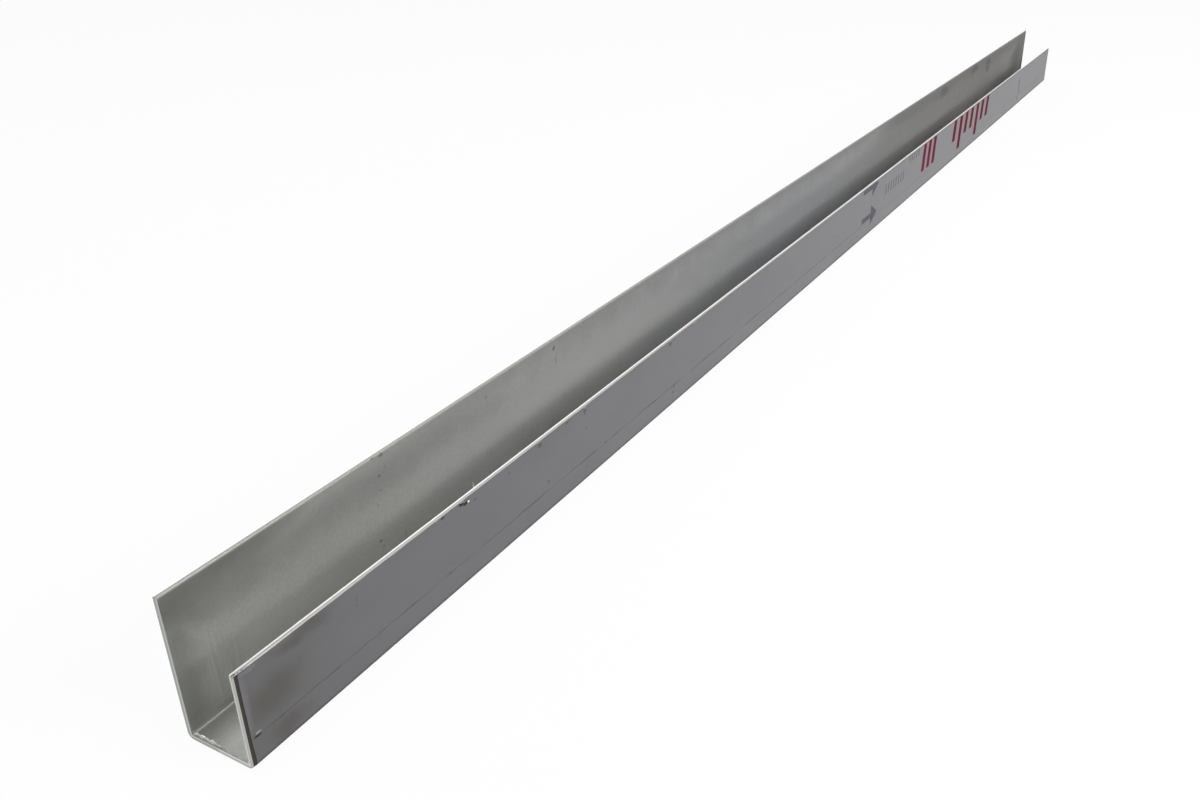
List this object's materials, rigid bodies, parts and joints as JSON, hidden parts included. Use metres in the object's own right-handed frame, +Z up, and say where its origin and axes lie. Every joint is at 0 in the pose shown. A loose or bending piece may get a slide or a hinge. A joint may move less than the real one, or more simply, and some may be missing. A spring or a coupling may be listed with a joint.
{
  "type": "metal u-channel",
  "caption": "Straight bent-sheet U-channel with one tall and one short flange, square-cut ends and protective film left on its outer faces.",
  "frame": {"origin": "middle of the underside, under the web, halfway along the length and halfway across the outside width", "axes": "+X along the length, +Y towards the tall flange, +Z up out of the open side"},
  "size_m": [1, 0.0242, 0.0451],
  "materials": {
    "stainless_steel": "cold-rolled mill finish, dull and slightly hazy",
    "film": "thin grey polyethylene protective film with faint printed marks"
  },
  "bodies": {
    "root": {"channel": "stainless_steel", "protective_film": "film"}
  },
  "joints": []
}
